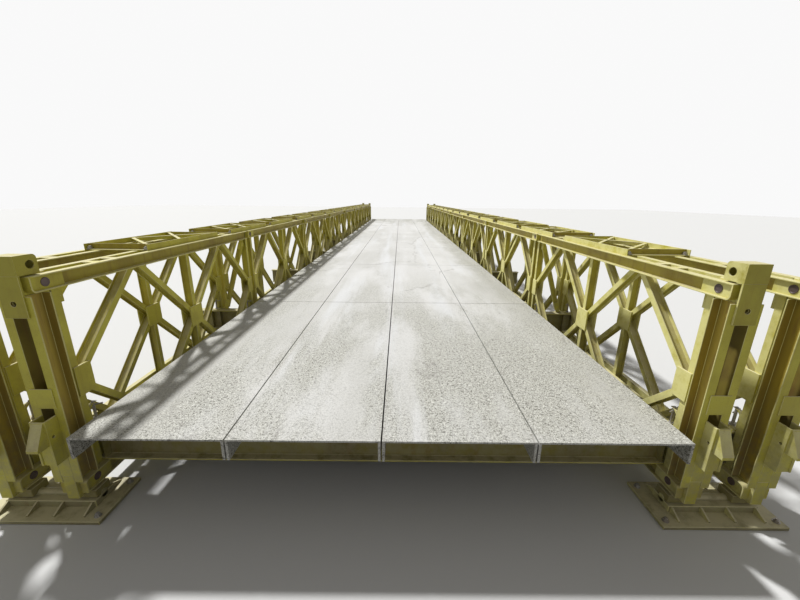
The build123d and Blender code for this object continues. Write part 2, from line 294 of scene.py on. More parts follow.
def steel_plate(*reaches, edge=0.0015):
    """A plate, its edges eased. A reach is two places on its axis, or one number to both sides."""
    ends = [sorted(reach) if isinstance(reach, tuple) else (-reach, reach) for reach in reaches]
    bpy.ops.mesh.primitive_cube_add(size=1, location=[(low + high) / 2 for low, high in ends],
                                    scale=[high - low for low, high in ends])
    plate = bpy.context.active_object
    settle(plate)
    if edge:
        break_edges(plate, edge)
    return plate


def flat_start(width, depth, place=(0, 0, 0), turn=(0, 0, 0)):
    """A flat rectangle that a section or a plate is shaped from."""
    bpy.ops.mesh.primitive_plane_add(size=1, location=place, rotation=turn)
    piece = bpy.context.active_object
    piece.scale = (width, depth, 1)
    settle(piece)
    return piece


def rolled_bar(width, depth, cuts, waste, length, edge=0.0015):
    """A rolled bar standing on the origin: its end is drawn flat, notched, and drawn out."""
    bar = flat_start(width, depth)
    bpy.ops.object.mode_set(mode="EDIT")
    for axis, places in enumerate(cuts):
        for place in places:
            bpy.ops.mesh.select_all(action="SELECT")
            point = [place if a == axis else 0 for a in range(3)]
            normal = [1 if a == axis else 0 for a in range(3)]
            bpy.ops.mesh.bisect(plane_co=point, plane_no=normal)
    bpy.ops.object.mode_set(mode="OBJECT")
    open_with_faces(bar, lambda c, n: waste(c))
    bpy.ops.mesh.delete(type="FACE")
    bpy.ops.mesh.select_all(action="SELECT")
    bpy.ops.mesh.extrude_region_move(TRANSFORM_OT_translate={"value": (0, 0, length)})
    bpy.ops.mesh.select_all(action="SELECT")
    bpy.ops.mesh.dissolve_limited(angle_limit=0.01)
    close_edit()
    if edge:
        break_edges(bar, edge)
    return bar


def placed(piece, place=(0, 0, 0), turn=(0, 0, 0), scale=(1, 1, 1)):
    """The piece turned, mirrored and moved from where it was made."""
    piece.rotation_euler = turn
    piece.location = place
    piece.scale = scale
    settle(piece)
    if scale[0] * scale[1] * scale[2] < 0:
        bpy.ops.object.mode_set(mode="EDIT")
        close_edit()
    return piece


def copy_of(piece, place=(0, 0, 0), turn=(0, 0, 0), scale=(1, 1, 1)):
    """A copy with its own mesh, placed the same way."""
    twin = piece.copy()
    twin.data = piece.data.copy()
    bpy.context.scene.collection.objects.link(twin)
    return placed(twin, place, turn, scale)


def finish_in(piece, *materials, choose=None):
    """Give a piece its finishes, and each face the number that its place and normal choose."""
    piece.data.materials.clear()
    for material in materials:
        piece.data.materials.append(material)
    for face in piece.data.polygons:
        face.material_index = int(choose(face.center, face.normal)) if choose else 0
    return piece


def eased(normal):
    """Whether a face of a square piece is one of its eased edges."""
    return max(abs(normal.x), abs(normal.y), abs(normal.z)) < 0.97


def join(pieces, name):
    """Several pieces welded into one."""
    bpy.ops.object.select_all(action="DESELECT")
    for piece in pieces:
        piece.select_set(True)
    bpy.context.view_layer.objects.active = pieces[0]
    bpy.ops.object.join()
    whole = bpy.context.active_object
    whole.name = name
    return whole


def edges_worn_and_highlit(piece, material=olive_paint):
    """A piece in paint worn pale along its eased edges, with a highlight painted there too."""
    return finish_in(piece, material, worn_and_highlit_edge, choose=lambda c, n: eased(n))


def painted_plate(*reaches, edge=0.0015, material=olive_paint):
    """A plate with its paint worn pale along the edges, and a highlight painted on them."""
    return edges_worn_and_highlit(steel_plate(*reaches, edge=edge), material)


bay = 3.0
panel_height = panel_high.z - panel_low.z
chord_depth = 0.100
chord_gap = 0.080
flange_width = 0.048
flange_thickness = 0.0085
web_thickness = 0.0053
jaw_reach = 0.105
male_setback = 0.150
strap_radius = 0.030
bend_y = strap_radius - jaw_reach
channel_length = bay - male_setback + jaw_reach - strap_radius
channel_middle = (chord_gap + flange_width) / 2
weld = 0.0005  # how far a welded part reaches into its neighbour

half_flange = chord_depth / 2 - flange_thickness
web_side = flange_width / 2 - web_thickness
channel = rolled_bar(
    flange_width, chord_depth, ((-web_side,), (-half_flange, half_flange)),
    lambda c: c.x > -web_side and abs(c.y) < half_flange, channel_length,
)
# The channel's recess takes painted shade; its flange edges take the pale edge paint, partly a
# painted highlight.
finish_in(channel, olive_paint, recess_painted_shade, worn_and_highlit_edge,
          choose=lambda c, n: 2 if eased(n) or (n.x > 0.9 and c.x > 0)
          else abs(c.y) < half_flange + 0.001 and n.x > 0.5)
channel = placed(channel, (channel_middle, bend_y, 0), (-math.pi / 2, 0, 0))

# The strap that closes a jaw's end is the flange bent round the corner, so it is spun from it.
strap = flat_start(flange_width, flange_thickness,
                   (channel_middle, bend_y, (flange_thickness - chord_depth) / 2),
                   (math.pi / 2, 0, 0))
bpy.ops.object.mode_set(mode="EDIT")
bpy.ops.mesh.select_all(action="SELECT")
bpy.ops.mesh.spin(steps=6, angle=math.pi / 2, axis=(1, 0, 0),
                  center=(channel_middle, bend_y, strap_radius - chord_depth / 2))
bpy.ops.mesh.extrude_region_move(
    TRANSFORM_OT_translate={"value": (0, 0, chord_depth - strap_radius - flange_thickness + weld)})
close_edit()
# The strap takes the darker hollow paint as painted shade, save one edge face in the pale edge paint.
finish_in(strap, hollow_painted_shade, worn_and_highlit_edge, choose=lambda c, n: n.x > 0.9)
strap_low = chord_gap / 2
jaw_lip = painted_plate((strap_low, strap_low + flange_width), (-jaw_reach, bend_y + weld),
                        (half_flange, chord_depth / 2))

doubler_end = 0.120
doubler_half = half_flange + 0.002
doubler_setback = 0.004
doubler_thickness = 0.030
doubler = steel_plate((strap_low, strap_low + doubler_thickness),
                      (-jaw_reach + doubler_setback, doubler_end), doubler_half, edge=0)
bevel_chosen_edges(doubler, lambda a, b: max(a.y, b.y, a.z, b.z) < 0 and abs(a.x - b.x) > 0.005,
                   strap_radius - doubler_setback, 6)
break_edges(doubler, 0.0012)
finish_in(doubler, olive_paint, worn_and_highlit_edge, choose=lambda c, n: eased(n) and c.y > 0)
half_chord = join([channel, strap, jaw_lip, doubler], "half_chord")
other_half = copy_of(half_chord, scale=(-1, 1, 1))

# Battens close the gap between the channels beside each bracing bolt, flush with the flanges.
batten_places = (0.42, 0.585, 1.17, 1.83, 2.415, 2.58)
batten_half = 0.032
battens = [painted_plate(chord_gap / 2, (y - batten_half, y + batten_half),
                         (half_flange, chord_depth / 2 - 0.001)) for y in batten_places]
top_chord = join([half_chord, other_half] + battens, "top_chord")
bottom_chord = copy_of(top_chord, (0, 0, chord_depth / 2), scale=(1, 1, -1))
top_chord = placed(top_chord, (0, 0, panel_height - chord_depth / 2))

# A panel's web. Verticals and diagonals are small I sections across the gap of the chords, so that
# their flanges face the roadway, with gusset plates welded over the middle crossings.
bar_width = 0.050
bar_depth = chord_gap - 0.0006
bar_web = 0.0045
bar_flange = 0.0065
bar_inset = 0.008
flange_in = bar_depth / 2 - bar_flange
near_vertical = 0.075
middle_vertical = bay / 2
far_vertical = bay - 0.080
mid_height = panel_height / 2


def web_bar(length):
    """A length of the small I section, standing on the origin."""
    bar = rolled_bar(
        bar_depth, bar_width, ((-flange_in, flange_in), (-bar_web / 2, bar_web / 2)),
        lambda c: abs(c.x) < flange_in and abs(c.y) > bar_web / 2, length,
    )
    # The bar's recess takes painted shade, its flange edges the pale edge paint.
    return finish_in(bar, olive_paint, hollow_painted_shade, worn_and_highlit_edge,
                     choose=lambda c, n: 2 if eased(n) or (abs(n.y) > 0.9 and abs(c.y) > 0.02)
                     else abs(c.x) < flange_in + 0.0005 and abs(n.z) < 0.5)


def trim(*planes):
    """Cut the active piece along planes, each a point and the direction of what goes."""
    bpy.ops.object.mode_set(mode="EDIT")
    for point, normal in planes:
        bpy.ops.mesh.select_all(action="SELECT")
        bpy.ops.mesh.bisect(plane_co=point, plane_no=normal, clear_outer=True, use_fill=True)
    close_edit()


vertical = web_bar(panel_height - 2 * bar_inset)
verticals = [copy_of(vertical, (0, y, bar_inset))
             for y in (near_vertical, middle_vertical, far_vertical)]
bpy.data.objects.remove(vertical)

diamond_span = (middle_vertical - near_vertical) / 2
diamond_rise = mid_height - chord_depth / 2
diagonal_lean = math.atan2(diamond_span, diamond_rise)
diagonal_spare = 0.15
diagonal = web_bar(math.hypot(diamond_span, diamond_rise) + 2 * diagonal_spare)
start_y = -diamond_span - diagonal_spare * math.sin(diagonal_lean)
start_z = -diagonal_spare * math.cos(diagonal_lean)
diagonal = placed(diagonal, (0, start_y, start_z), (-diagonal_lean, 0, 0))
trim(((0, -diamond_span + bar_width / 2, 0), (0, -1, 0)),
     ((0, -0.002, 0), (0, 1, 0)),
     ((0, 0, diamond_rise + chord_depth / 2 - bar_inset - 0.012), (0, 0, 1)))
bars = [diagonal] + [copy_of(diagonal, scale=(1, y, z)) for y, z in ((-1, 1), (1, -1), (-1, -1))]
diamond = join(bars, "diamond")
diamonds = [copy_of(diamond, (0, y, mid_height))
            for y in (near_vertical + diamond_span, (middle_vertical + far_vertical) / 2)]
bpy.data.objects.remove(diamond)

# The gussets are plain rectangles, a little proud of the bars they are welded to.
gusset_half_height = 0.1055
gusset_half_width = 0.104
gusset_proud = 0.0125
gussets = []
for y, left, right in ((near_vertical, -bar_width / 2, gusset_half_width),
                       (middle_vertical, -gusset_half_width, gusset_half_width),
                       (far_vertical, -gusset_half_width, bar_width / 2)):
    for side in (-1, 1):
        gussets.append(painted_plate(
            (side * (bar_depth / 2 - weld), side * (bar_depth / 2 + gusset_proud)),
            (y + left, y + right),
            (mid_height - gusset_half_height, mid_height + gusset_half_height), edge=0.002))

# Small ear plates near both ends of the end verticals take the rakers' and sway rods' bolts.
ear_height = 0.115
ear_reach = 0.055
ear_half = 0.006
ears = []
for y, side in ((near_vertical, 1), (far_vertical, -1)):
    reach = (y + side * (bar_width / 2 - 0.004), y + side * (bar_width / 2 + ear_reach))
    for level in (panel_height - chord_depth - ear_height, chord_depth):
        ears.append(painted_plate(ear_half, reach, (level, level + ear_height)))

lug_length = 0.275
lug_reach = 0.045
lug_half = chord_depth / 2 - bar_inset
pin_levels = (chord_depth / 2, panel_height - chord_depth / 2)
lugs = []
for level in pin_levels:
    lug = steel_plate(bar_depth / 2, (bay + lug_reach - lug_length, bay + lug_reach),
                      (level - lug_half, level + lug_half), edge=0)
    bevel_chosen_edges(lug, lambda a, b: min(a.y, b.y) > bay and abs(a.x - b.x) > 0.01, 0.03, 4)
    break_edges(lug, 0.003)
    # The lugs take the dark paint as painted shade.
    lugs.append(finish_in(lug, grime_and_shade_paint))

panel = join([top_chord, bottom_chord] + verticals + diamonds + gussets + ears + lugs, "panel")

bays = 8
truss_x = {}
for truss in ("left_outer", "left_inner", "right_inner", "right_outer"):
    low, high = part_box(f"{truss}_panel_1")
    truss_x[truss] = (low.x + high.x) / 2
    for number in range(1, bays + 1):
        node = f"{truss}_panel_{number}"
        bay_y = near_pin_y + (number - 1) * bay
        piece = copy_of(panel, (truss_x[truss], bay_y, panel_low.z))
        piece.name = f"{node}_steel"
        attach(piece, "root")
        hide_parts(node)
bpy.data.objects.remove(panel)

# Panel pins. One dark forged pin with a tapered nose joins jaw to lug at every corner of a panel,
# its dished head towards the roadway and its nose outwards.
def round_bar(radius, length, place=(0, 0, 0), turn=(0, 0, 0), sides=24):
    """A length of round bar about its middle."""
    bpy.ops.mesh.primitive_cylinder_add(vertices=sides, radius=radius, depth=length,
                                        location=place, rotation=turn)
    bar = bpy.context.active_object
    settle(bar)
    return bar


def draw_out(piece, test, *moves, inset=0, taper=None):
    """Inset the faces that pass the test, draw them out by each move, and taper their end."""
    open_with_faces(piece, test)
    if inset:
        bpy.ops.mesh.inset(thickness=inset)
    for move in moves:
        bpy.ops.mesh.extrude_region_move(TRANSFORM_OT_translate={"value": move})
    if taper:
        bpy.ops.transform.resize(value=taper[0], center_override=taper[1])
    close_edit()


pin_steel, tree, shader, place, marks = start_material("pin_steel")
scaly = blend_colour(tree, marks["Blotches"], (0.080, 0.055, 0.048), (0.13, 0.09, 0.08))
specked = stain(tree, marks["Specks"], 0.6, scaly, rust_colour)
coat(tree, shader, place, specked, rough=(0.4, 0.7), scale=180.0, depth=0.0006)

across = (0, math.pi / 2, 0)
pin_radius = 0.028
pin_half = 0.074
pin_nose = 0.014
pin = round_bar(pin_radius, 2 * pin_half, turn=across)
draw_out(pin, lambda c, n: n.x > 0.9, (pin_nose, 0, 0),
         taper=((1, 0.7, 0.7), (pin_half + pin_nose, 0, 0)))
draw_out(pin, lambda c, n: n.x < -0.9, (0.003, 0, 0), inset=0.006)
break_edges(pin, 0.002)
finish_in(pin, pin_steel)
pins = []
for x in truss_x.values():
    outwards = 1 if x > 0 else -1
    for joint in range(bays + 1):
        for level in pin_levels:
            spot = (x, near_pin_y + joint * bay, panel_low.z + level)
            pins.append(copy_of(pin, spot, scale=(outwards, 1, 1)))
bpy.data.objects.remove(pin)
panel_pins = join(pins, "panel_pins")
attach(panel_pins, "root")
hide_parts("end_pins")

# End posts. Two channels stand back to back between a forged block at each pin, under a hollow head
# that takes the chord pin of a second storey; an open box on the front carries an outer cross beam.
far_pin_y = -near_pin_y
post_front = -0.130
post_depth = 0.125
post_back = post_front + post_depth
post_flange = 0.056
half_lug = bar_depth / 2
stile_bottom = panel_low.z + chord_depth + 0.010
stile_top = panel_high.z - chord_depth - 0.010
post_batten_half = 0.066
post_batten_levels = (0.843, 0.977)
cover_thickness = 0.012
cover_top = 0.750
head_plate = 0.012
head_plate_foot = panel_low.z + 1.265
front_hole = panel_low.z + 1.350
front_hole_radius = 0.016
head_bottom = panel_high.z + 0.010
head_top = head_bottom + 0.112
head_half = 0.067
head_back = -0.010
head_wall = 0.010
head_pin_spot = (0, -0.056, panel_low.z + 1.565)
head_pin_radius = 0.025
slot_depth = 0.114
slot_height = 0.104
foot_bottom = 0.085
foot_top = 0.145
foot_half_width = 0.088
foot_half_depth = 0.060
foot_groove = 0.0302
foot_block_top = panel_low.z + 0.160
bracket_front = post_front - 0.080
bracket_inner = 0.036
bracket_outer = 0.048
bracket_seat = panel_low.z + 0.455
bracket_foot = bracket_seat - 0.145
bracket_top = panel_low.z + 0.625

# Shade is painted into the posts' hollows, so they go from olive at the front to brown at the back.
post_hollow_painted_shade, tree, shader, place, marks = start_material("post_hollow_painted_shade")
from_middle = combine(tree, "ABSOLUTE", axis_of(tree, place, "Y"))
wander = combine(tree, "MULTIPLY", noise(tree, place, 7.0, 5.0, 0.6, (1, 1, 5)), 0.05)
depth_in = combine(tree, "ADD", from_middle, wander)
shade_to_ochre = blend_colour(tree, ramp(tree, depth_in, far_pin_y + 0.012, far_pin_y + 0.085),
                     (0.20, 0.14, 0.03), (0.46, 0.35, 0.05))
to_front = blend_colour(tree, ramp(tree, depth_in, far_pin_y + 0.095, far_pin_y + 0.150),
                        shade_to_ochre, (0.46, 0.40, 0.06))
rusty = stain(tree, marks["Streaks"], 0.5, to_front, (0.24, 0.14, 0.05))
splashed = blend_colour(tree, placed_group(tree, road_splash, place, "Splash", Amount=0.6),
                        rusty, (0.20, 0.17, 0.11))
coat(tree, shader, place, splashed, rough=(0.4, 0.7), scale=60.0, depth=0.0008)

# Painted shade: the dark paint between the back-to-back channels and inside the hole through the
# front.
shaded_paint = paint("painted_shade_between_the_channels", (0.23, 0.185, 0.035), (0.17, 0.125, 0.03),
                     rust=0.4, dust=0.5, painted_sunlight_cover=0.0)
head_paint = paint("paint_on_the_heads", (0.40, 0.36, 0.055), (0.32, 0.275, 0.045),
                   rust=0.2, dust=0.7)


def cut_away(piece, cutter):
    """Take a cutter's space out of a piece, and the cutter away."""
    modify(piece, "BOOLEAN", operation="DIFFERENCE", object=cutter)
    bpy.data.objects.remove(cutter)


def drill(piece, place, turn, radius, depth):
    """A round hole through a piece."""
    bpy.ops.mesh.primitive_cylinder_add(vertices=24, radius=radius, depth=depth,
                                        location=place, rotation=turn)
    cut_away(piece, bpy.context.active_object)


def by_front_hole(c, n):
    """Finish numbers: 2 in the hole through the front, 1 on eased edges, 0 elsewhere."""
    in_line = math.hypot(c.x, c.z - front_hole) < front_hole_radius + 0.0005
    within = abs(n.y) < 0.5 or post_front + 0.05 < c.y < 0
    return 2 if in_line and within else eased(n)


def post_head():
    """The head, bent from one plate over the top and down the back, open below, with its pin hole."""
    head = steel_plate(head_half, (post_front - head_plate, head_back), (head_bottom, head_top),
                       edge=0)
    bevel_chosen_edges(head, lambda a, b: min(a.y, b.y) > head_back - 0.001
                       and min(a.z, b.z) > head_top - 0.001, 0.024, 5)
    open_with_faces(head, lambda c, n: n.z < -0.9)
    bpy.ops.mesh.delete(type="FACE")
    bpy.ops.object.mode_set(mode="OBJECT")
    modify(head, "SOLIDIFY", thickness=head_wall)
    drill(head, head_pin_spot, across, head_pin_radius, 0.3)
    break_edges(head, 0.0016)
    return finish_in(head, head_paint, worn_and_highlit_edge,
                     choose=lambda c, n: eased(n) and c.z < head_top - 0.03)


def on_guide(c, n):
    """Whether a face is the leaning front of a bracket's guide."""
    return n.y < -0.5 and n.z > 0.1


def post_bracket():
    """The open box on the post's front, closed by a plate that leans outwards like a guide."""
    parts = []
    for side in (-1, 1):
        cheek = steel_plate((side * bracket_inner, side * bracket_outer), (bracket_front, post_front),
                            (bracket_foot, bracket_top), edge=0)
        drill(cheek, (side * 0.042, -0.180, panel_low.z + 0.505), across, 0.009, 0.05)
        break_edges(cheek, 0.0015)
        parts.append(edges_worn_and_highlit(cheek))
    toe = bracket_front - 0.070
    toe_top = panel_low.z + 0.478
    guide_top = bracket_top - 0.004
    guide = steel_plate(bracket_inner, (toe, bracket_front + 0.012), (bracket_seat, guide_top),
                        edge=0)
    trim(((0, bracket_front, guide_top), (0, -(bracket_top - toe_top), bracket_front - toe)))
    draw_out(guide, on_guide, (0, 0.002, -0.001), inset=0.006)
    break_edges(guide, 0.002)
    parts.append(finish_in(guide, olive_paint, worn_and_highlit_edge, choose=on_guide))
    parts.append(painted_plate(bracket_inner, (bracket_front + 0.006, post_front),
                               (bracket_foot, bracket_seat)))
    return parts


def end_post(takes_lugs):
    """One post about its own pin line, outwards towards -Y."""
    web_at = -post_flange / 2 + web_thickness
    flange_at = post_depth / 2 - flange_thickness
    stile = rolled_bar(post_flange, post_depth, ((web_at,), (-flange_at, flange_at)),
                       lambda c: c.x > web_at and abs(c.y) < flange_at,
                       stile_top - stile_bottom, 0.002)
    finish_in(stile, olive_paint, post_hollow_painted_shade, worn_and_highlit_edge, shaded_paint,
              choose=lambda c, n: 3 if n.x < -0.9 else 2 if eased(n) or (n.x > 0.9 and c.x > 0)
              else abs(c.y) < flange_at + 0.001 and c.x < post_flange / 2 - 0.001 and abs(n.z) < 0.5)
    parts = [placed(stile, (half_lug + post_flange / 2, post_front + post_depth / 2, stile_bottom))]
    parts.append(copy_of(stile, scale=(-1, 1, 1)))
    for reach in ((post_front - 0.007, post_front + weld), (post_back - weld, post_back + 0.004)):
        parts.append(painted_plate(post_batten_half, reach, post_batten_levels))
    parts.append(painted_plate(half_lug, (post_front, post_front + cover_thickness),
                               (foot_block_top, cover_top)))
    half_block = 0.060 if takes_lugs else half_lug - 0.0005
    block_back = 0.055 if takes_lugs else 0.045
    top_pin, foot_pin = panel_high.z - chord_depth / 2, panel_low.z + chord_depth / 2
    for low_z, high_z, level in ((head_plate_foot, head_bottom + 0.001, top_pin),
                                 (foot_top - 0.001, foot_block_top, foot_pin)):
        block = steel_plate(half_block, (post_front + 0.001, block_back), (low_z, high_z), edge=0)
        if takes_lugs:
            bpy.ops.mesh.primitive_cube_add(size=1, location=(0, 0, level),
                                            scale=(chord_gap, slot_depth, slot_height))
            cut_away(block, bpy.context.active_object)
        if low_z == head_plate_foot:
            drill(block, (0, post_front, front_hole), (math.pi / 2, 0, 0), front_hole_radius, 0.16)
        break_edges(block, 0.003)
        parts.append(finish_in(block, olive_paint, worn_and_highlit_edge, shaded_paint, choose=by_front_hole))
    parts.append(post_head())
    front = steel_plate(head_half, (post_front - head_plate, post_front + weld),
                        (head_plate_foot, head_bottom + weld), edge=0)
    drill(front, (0, post_front - head_plate / 2, front_hole), (math.pi / 2, 0, 0),
          front_hole_radius, 0.05)
    break_edges(front, 0.0016)
    parts.append(finish_in(front, head_paint, worn_and_highlit_edge, shaded_paint, choose=by_front_hole))
    parts += post_bracket()
    foot = steel_plate(foot_half_width, foot_half_depth, (foot_bottom, foot_top), edge=0)
    drill(foot, (0, 0, foot_bottom - 0.010), across, foot_groove, 0.3)
    break_edges(foot, 0.003)
    parts.append(finish_in(foot, grime_and_shade_paint))
    return join(parts, "end_post")


for node, takes_lugs, outwards in (("near_end_posts", False, -1), ("far_end_posts", True, 1)):
    post = end_post(takes_lugs)
    turn = (0, 0, 0 if outwards < 0 else math.pi)
    posts = [copy_of(post, (x, outwards * far_pin_y, 0), turn) for x in truss_x.values()]
    bpy.data.objects.remove(post)
    piece = join(posts, f"{node}_steel")
    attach(piece, "root")
    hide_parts(node)

# Bolts. Grey hexagon heads on a washer, with the end of the screw standing out of the nut; they
# hold the frames, struts and clamps together.
bolt_steel, tree, shader, place, marks = start_material("bolt_steel")
zinc = blend_colour(tree, marks["Blotches"], (0.36, 0.35, 0.33), (0.27, 0.24, 0.20))
specked = blend_colour(tree, marks["Specks"], zinc, rust_colour)
shader.inputs["Metallic"].default_value = 0.35
coat(tree, shader, place, specked, rough=(0.35, 0.6), scale=200.0, depth=0.0003)


def on_top(c, n):
    """Whether a face is the top of its piece."""
    return n.z > 0.9


hex_bolt = round_bar(0.018, 0.014, (0, 0, 0.010), sides=6)
draw_out(hex_bolt, on_top, (0, 0, 0.010), inset=0.006)
washer = round_bar(0.023, 0.0035, (0, 0, 0.00165), sides=10)
draw_out(washer, on_top, inset=0.003)
hex_bolt = finish_in(join([hex_bolt, washer], "hex_bolt"), bolt_steel)


def bolts_at(places, turn=(0, 0, 0)):
    """A bolt at each place."""
    return [copy_of(hex_bolt, place, turn) for place in places]


# Bearings. Each pair of posts stands on a half-round rocker bar, welded with cheek ribs onto a thick
# saddle and a base plate that is bolted down at its corners.
bearing_x = (truss_x["right_inner"] + truss_x["right_outer"]) / 2
plate_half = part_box("bearings")[1].x - bearing_x
plate_half_depth = 0.200
saddle_half = plate_half - 0.110
saddle_half_depth = 0.080
base_top = 0.025
saddle_top = 0.075
rib_end = 0.165
bearing_paint = paint("bearing_paint", (0.31, 0.29, 0.15), (0.22, 0.19, 0.11), rust=0.35, dust=0.9)
base = painted_plate(plate_half, plate_half_depth, (0, base_top), edge=0.003,
                     material=bearing_paint)
saddle = painted_plate(saddle_half, saddle_half_depth, (base_top - 0.001, saddle_top), edge=0.004,
                       material=bearing_paint)
rocker = round_bar(0.0295, 2 * saddle_half, (0, 0, saddle_top), across)
draw_out(rocker, lambda c, n: abs(n.x) > 0.9, inset=0.006)
break_edges(rocker, 0.002)
finish_in(rocker, bearing_paint)
ribs = []
for x in (-saddle_half + 0.02, -0.09, 0.09, saddle_half - 0.02):
    for side in (-1, 1):
        reach = (side * (saddle_half_depth - 0.002), side * rib_end)
        rib = steel_plate((x - 0.006, x + 0.006), reach, (base_top - 0.001, saddle_top - 0.004),
                          edge=0)
        trim(((0, side * rib_end, base_top + 0.010), (0, side * 0.036, 0.075)))
        ribs.append(finish_in(rib, bearing_paint))
anchors = bolts_at([(x, y, base_top) for x in (-plate_half + 0.045, plate_half - 0.045)
                    for y in (-0.15, 0.15)])
bearing = join([base, saddle, rocker] + ribs + anchors, "bearing")
bearings = [copy_of(bearing, (x, y, 0)) for x in (-bearing_x, bearing_x)
            for y in (near_pin_y, far_pin_y)]
bpy.data.objects.remove(bearing)
bearings = join(bearings, "bearings_steel")
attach(bearings, "root")
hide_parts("bearings")

# Transoms. Deep rolled beams lie on the lower chords beside the panels' verticals, stiffened over
# the trusses; a bent clamp with a screw holds each one down to every truss that it crosses.
transom_low, transom_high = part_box("transoms")
transom_half = transom_high.x
transom_depth = transom_high.z - transom_low.z
transom_flange = 0.122
transom_flange_edge = transom_depth / 2 - 0.0137
transom_web = 0.0085
seat_gap = 0.0003
first_transom = near_pin_y + near_vertical + bar_width / 2 + transom_flange / 2 + seat_gap
transom_places = [first_transom] + [near_pin_y + number * bay + far_vertical - bay - bar_width / 2
                                    - transom_flange / 2 - seat_gap for number in range(1, bays + 1)]
beam = rolled_bar(
    transom_depth, transom_flange,
    ((-transom_flange_edge, transom_flange_edge), (-transom_web / 2, transom_web / 2)),
    lambda c: abs(c.x) < transom_flange_edge and abs(c.y) > transom_web / 2, 2 * transom_half, 0.003,
)
finish_in(beam, grime_and_shade_paint, olive_paint,
          choose=lambda c, n: abs(n.y) > 0.9 and abs(c.x) > transom_flange_edge - 0.001)
beam = placed(beam, (-transom_half, 0, 0), across)
beam_parts = [beam]
clear_height = transom_flange_edge + weld
for x in [side * (abs(truss_x[truss]) + step) for side in (-1, 1)
          for truss in ("left_inner", "left_outer") for step in (-0.060, 0.060)]:
    for side in (-1, 1):
        reach = (side * (transom_web / 2 - weld), side * (transom_flange / 2 - 0.004))
        stiffener = steel_plate((x - 0.004, x + 0.004), reach, clear_height, edge=0)
        bevel_chosen_edges(stiffener, lambda a, b: abs(a.x - b.x) > 0.004 and abs(a.y) < 0.01,
                           0.012, 1)
        beam_parts.append(finish_in(stiffener, grime_and_shade_paint))


def transom_clamp():
    """A bent clamp: foot on the beam's flange, neck beside the vertical, screw with a cross bar."""
    top = transom_depth / 2
    screw_y = -0.010
    foot = painted_plate(0.036, (-0.050, 0.052), (top, top + 0.014))
    draw_out(foot, on_top, inset=0.006)
    neck = steel_plate(0.014, (0.028, 0.052), (top + 0.012, top + 0.118), edge=0)
    draw_out(neck, on_top, (0, -0.028, 0.026), (0, -0.034, 0.004))
    break_edges(neck, 0.002)
    screw = round_bar(0.010, 0.135, (0, screw_y, top + 0.0795), sides=10)
    draw_out(screw, on_top, (0, 0, 0.012), taper=((0.7, 0.7, 1), (0, screw_y, top + 0.159)))
    cross_bar = round_bar(0.006, 0.110, (0, screw_y, top + 0.128), (0, math.pi / 2, 0.5), sides=8)
    break_edges(cross_bar, 0.0015)
    nut = copy_of(hex_bolt, (0, screw_y, top + 0.012))
    steel = [finish_in(piece, bolt_steel) for piece in (screw, cross_bar)]
    return [foot, edges_worn_and_highlit(neck)] + steel + [nut]


clamp = join(transom_clamp(), "clamp")
beam_parts += [copy_of(clamp, (x, 0, 0)) for x in truss_x.values()]
bpy.data.objects.remove(clamp)
transom = join(beam_parts, "transom")
transom_level = (transom_low.z + transom_high.z) / 2
transoms = [copy_of(transom, (0, transom_places[0], transom_level), (0, 0, math.pi))]
transoms += [copy_of(transom, (0, y, transom_level)) for y in transom_places[1:]]
bpy.data.objects.remove(transom)
transoms = join(transoms, "transoms_steel")
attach(transoms, "root")
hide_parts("transoms")

# Rakers. Light struts lean from the beams' ends to the heads of the inner trusses' verticals and keep
# these upright; each is a small rolled section with a plate and two bolts at either end.
raker_low, raker_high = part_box("rakers")
raker_width = 0.060
raker_thickness = 0.040
raker_web = 0.005
raker_head = Vector((truss_x["right_inner"], 0, raker_high.z))
raker_foot = Vector((truss_x["right_inner"] + 0.330, 0, raker_low.z))
lean = math.atan2(raker_foot.x - raker_head.x, raker_head.z - raker_foot.z)
raker_length = (raker_head - raker_foot).length
raker_flange_edge = raker_width / 2 - 0.006
strut = rolled_bar(
    raker_width, raker_thickness,
    ((-raker_flange_edge, raker_flange_edge), (-raker_web / 2, raker_web / 2)),
    lambda c: abs(c.x) < raker_flange_edge and abs(c.y) > raker_web / 2, raker_length - 0.090,
)
finish_in(strut, olive_paint, hollow_painted_shade, worn_and_highlit_edge,
          choose=lambda c, n: 2 if eased(n)
          else abs(c.x) < raker_flange_edge + 0.0005 and abs(n.z) < 0.5)
strut_parts = [placed(strut, (0, 0, 0.035))]
for low_z, high_z in ((0.012, 0.150), (raker_length - 0.150, raker_length - 0.018)):
    cheek = steel_plate(0.026, (-raker_thickness / 2, -raker_thickness / 2 + 0.008), (low_z, high_z),
                        edge=0)
    bevel_chosen_edges(cheek, lambda a, b: abs(a.y - b.y) > 0.005, 0.012, 2)
    strut_parts.append(finish_in(cheek, olive_paint))
    strut_parts += bolts_at([(0, raker_thickness / 2 - 0.014, z)
                             for z in (low_z + 0.030, high_z - 0.030)], (-math.pi / 2, 0, 0))
strut_parts.append(painted_plate(0.045, 0.019, (0.0005, 0.013)))
strut = join(strut_parts, "strut")
raker_offset = transom_flange / 2 - raker_thickness / 2
struts = []
for side in (-1, 1):
    for number, y in enumerate(transom_places):
        raker_y = y - raker_offset if number == 0 else y + raker_offset
        struts.append(copy_of(strut, (side * raker_foot.x, raker_y, raker_foot.z),
                              (0, -side * lean, 0)))
bpy.data.objects.remove(strut)
rakers = join(struts, "rakers_steel")
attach(rakers, "root")
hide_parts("rakers")

# Sway braces. Two flat bars cross under the deck in every bay, as built in the frame, painted once
# and dirty since.
finish_in(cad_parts["sway_braces"], grime_and_shade_paint)

